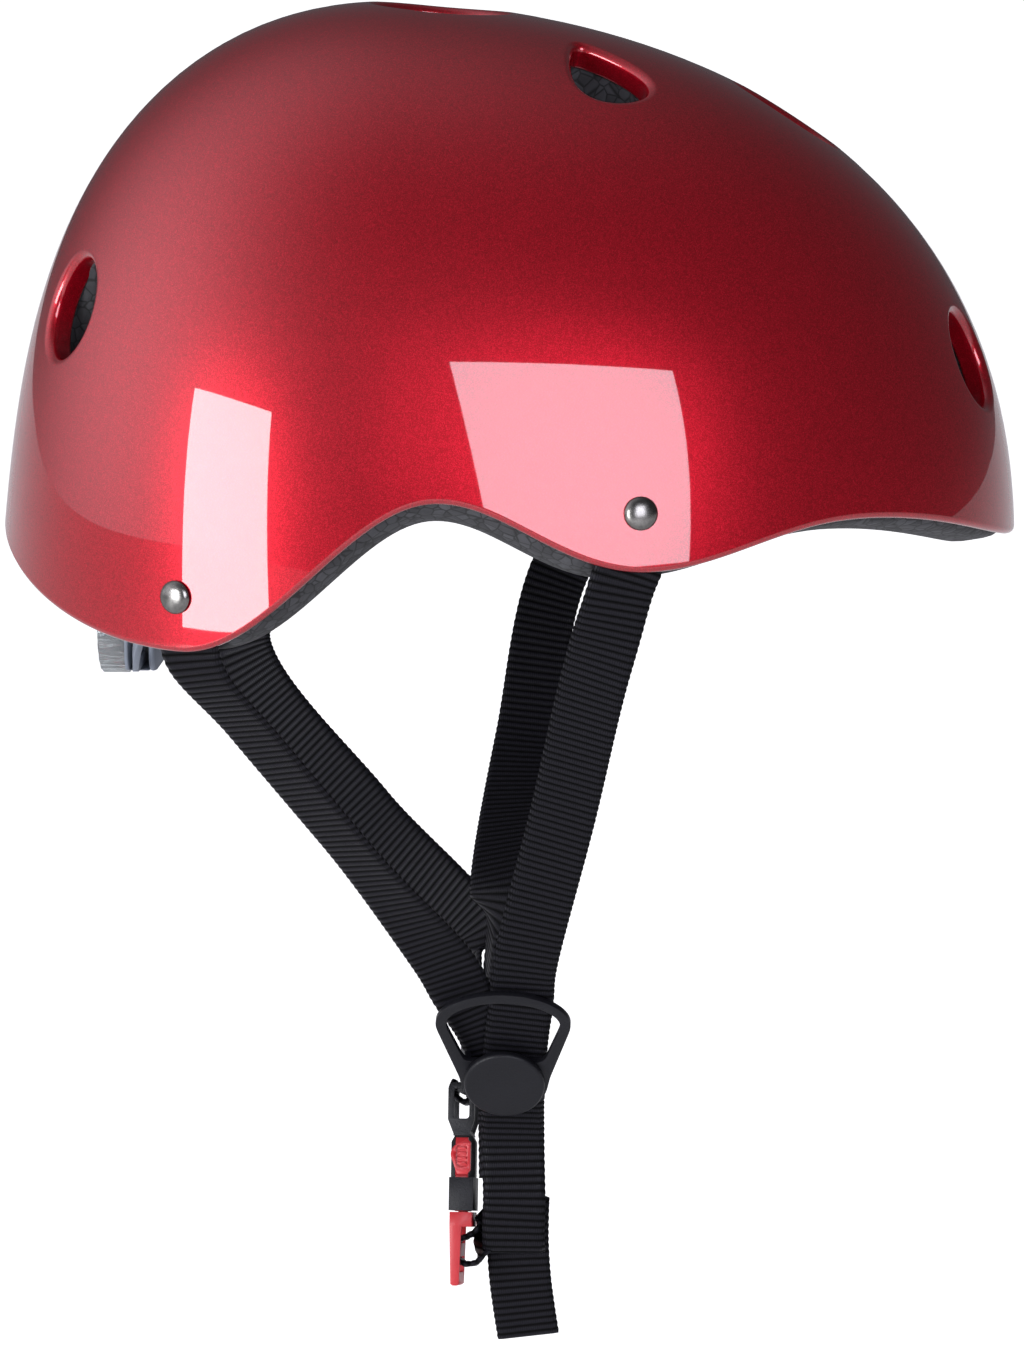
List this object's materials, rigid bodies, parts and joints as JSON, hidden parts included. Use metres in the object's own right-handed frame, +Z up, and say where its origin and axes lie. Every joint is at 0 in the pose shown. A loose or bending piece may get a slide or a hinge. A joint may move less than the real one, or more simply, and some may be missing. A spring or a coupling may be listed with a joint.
{
  "type": "multi-sport helmet",
  "caption": "Hard-shell multi-sport helmet with a foam liner, vents, riveted webbing harness, side-release chin buckle and dial-adjusted nape band.",
  "frame": {"origin": "on the flat underside of the crown pad, where the helmet rests on the head", "axes": "+X to the front, +Y to the wearer's left, +Z up"},
  "size_m": [0.2682, 0.2064, 0.3632],
  "materials": {
    "shell_red": "metallic flake under clear coat",
    "liner_foam": "moulded bead foam",
    "rivet_steel": "polished",
    "pad_felt": "brushed felt",
    "webbing": "ribbed weave",
    "black_plastic": "satin moulded",
    "buckle_red": "satin moulded",
    "nape_grey": "satin moulded",
    "dial_clear": "clear"
  },
  "bodies": {
    "helmet": {"outer_shell": "shell_red", "foam_liner": "liner_foam", "rivet_front_right": "rivet_steel", "rivet_rear_right": "rivet_steel", "rivet_front_left": "rivet_steel", "rivet_rear_left": "rivet_steel", "rivet_washer_front_right": "rivet_steel", "rivet_washer_rear_right": "rivet_steel", "rivet_washer_front_left": "rivet_steel", "rivet_washer_rear_left": "rivet_steel", "crown_pad": "pad_felt", "front_pad": "pad_felt", "side_pad_right": "pad_felt", "side_pad_left": "pad_felt", "rear_pad_right": "pad_felt", "rear_pad_left": "pad_felt", "right_front_strap": "webbing", "right_rear_strap": "webbing", "left_front_strap": "webbing", "left_rear_strap": "webbing", "right_lower_strap": "webbing", "left_lower_strap": "webbing", "buckle_female": "black_plastic", "band_anchor_right": "black_plastic", "band_anchor_left": "black_plastic"},
    "right_divider": {"right_divider_frame": "black_plastic", "right_divider_cap": "black_plastic"},
    "left_divider": {"left_divider_frame": "black_plastic", "left_divider_cap": "black_plastic"},
    "band_right": {"nape_band_right": "nape_grey"},
    "band_left": {"nape_band_left": "nape_grey"},
    "cradle": {"dial_housing": "nape_grey", "dial_cover": "nape_grey"},
    "dial": {"dial_knob": "dial_clear", "dial_pinion": "nape_grey"},
    "male_half": {"buckle_male": "buckle_red", "right_strap_end": "webbing"},
    "arm_right": {"buckle_arm_right": "buckle_red"},
    "arm_left": {"buckle_arm_left": "buckle_red"}
  },
  "joints": [
    {"name": "fit_dial", "type": "hinge", "parent": "cradle", "child": "dial", "pos_m": [-0.104, 0, -0.135], "axis": [1, 0, 0], "range_deg": [-32.7, 32.7]},
    {"name": "cradle_slide", "type": "slide", "parent": "helmet", "child": "cradle", "axis": [1, 0, 0], "range_m": [-0.0052, 0.0052]},
    {"name": "band_swing_right", "type": "hinge", "parent": "helmet", "child": "band_right", "pos_m": [-0.06, -0.072, -0.112], "axis": [0, 0, -1], "range_deg": [-4.2, 4.2]},
    {"name": "band_swing_left", "type": "hinge", "parent": "helmet", "child": "band_left", "pos_m": [-0.06, 0.072, -0.112], "axis": [0, 0, 1], "range_deg": [-4.2, 4.2]},
    {"name": "right_divider_slide", "type": "slide", "parent": "helmet", "child": "right_divider", "axis": [0, 0.4226, -0.9063], "range_m": [0, 0.012]},
    {"name": "left_divider_slide", "type": "slide", "parent": "helmet", "child": "left_divider", "axis": [0, 0.454, 0.891], "range_m": [0, 0.004]},
    {"name": "buckle_release", "type": "slide", "parent": "helmet", "child": "male_half", "axis": [0, -0.309, -0.9511], "range_m": [0, 0.022]},
    {"name": "arm_squeeze_right", "type": "hinge", "parent": "male_half", "child": "arm_right", "pos_m": [-0.011, -0.01424, -0.29499], "axis": [-1, 0, 0], "range_deg": [0, 14], "stiffness_Nm_per_rad": 0.005},
    {"name": "arm_squeeze_left", "type": "hinge", "parent": "male_half", "child": "arm_left", "pos_m": [-0.011, 0.00212, -0.3003], "axis": [1, 0, 0], "range_deg": [0, 14], "stiffness_Nm_per_rad": 0.005}
  ],
  "couplings": [
    {"joint": "cradle_slide", "follows": "fit_dial", "m_per_rad": 0.008804},
    {"joint": "band_swing_right", "follows": "fit_dial", "ratio": 0.12228},
    {"joint": "band_swing_left", "follows": "fit_dial", "ratio": 0.12228},
    {"joint": "arm_squeeze_right", "follows": "buckle_release", "rad_per_m": 11.1},
    {"joint": "arm_squeeze_left", "follows": "buckle_release", "rad_per_m": 11.1}
  ]
}
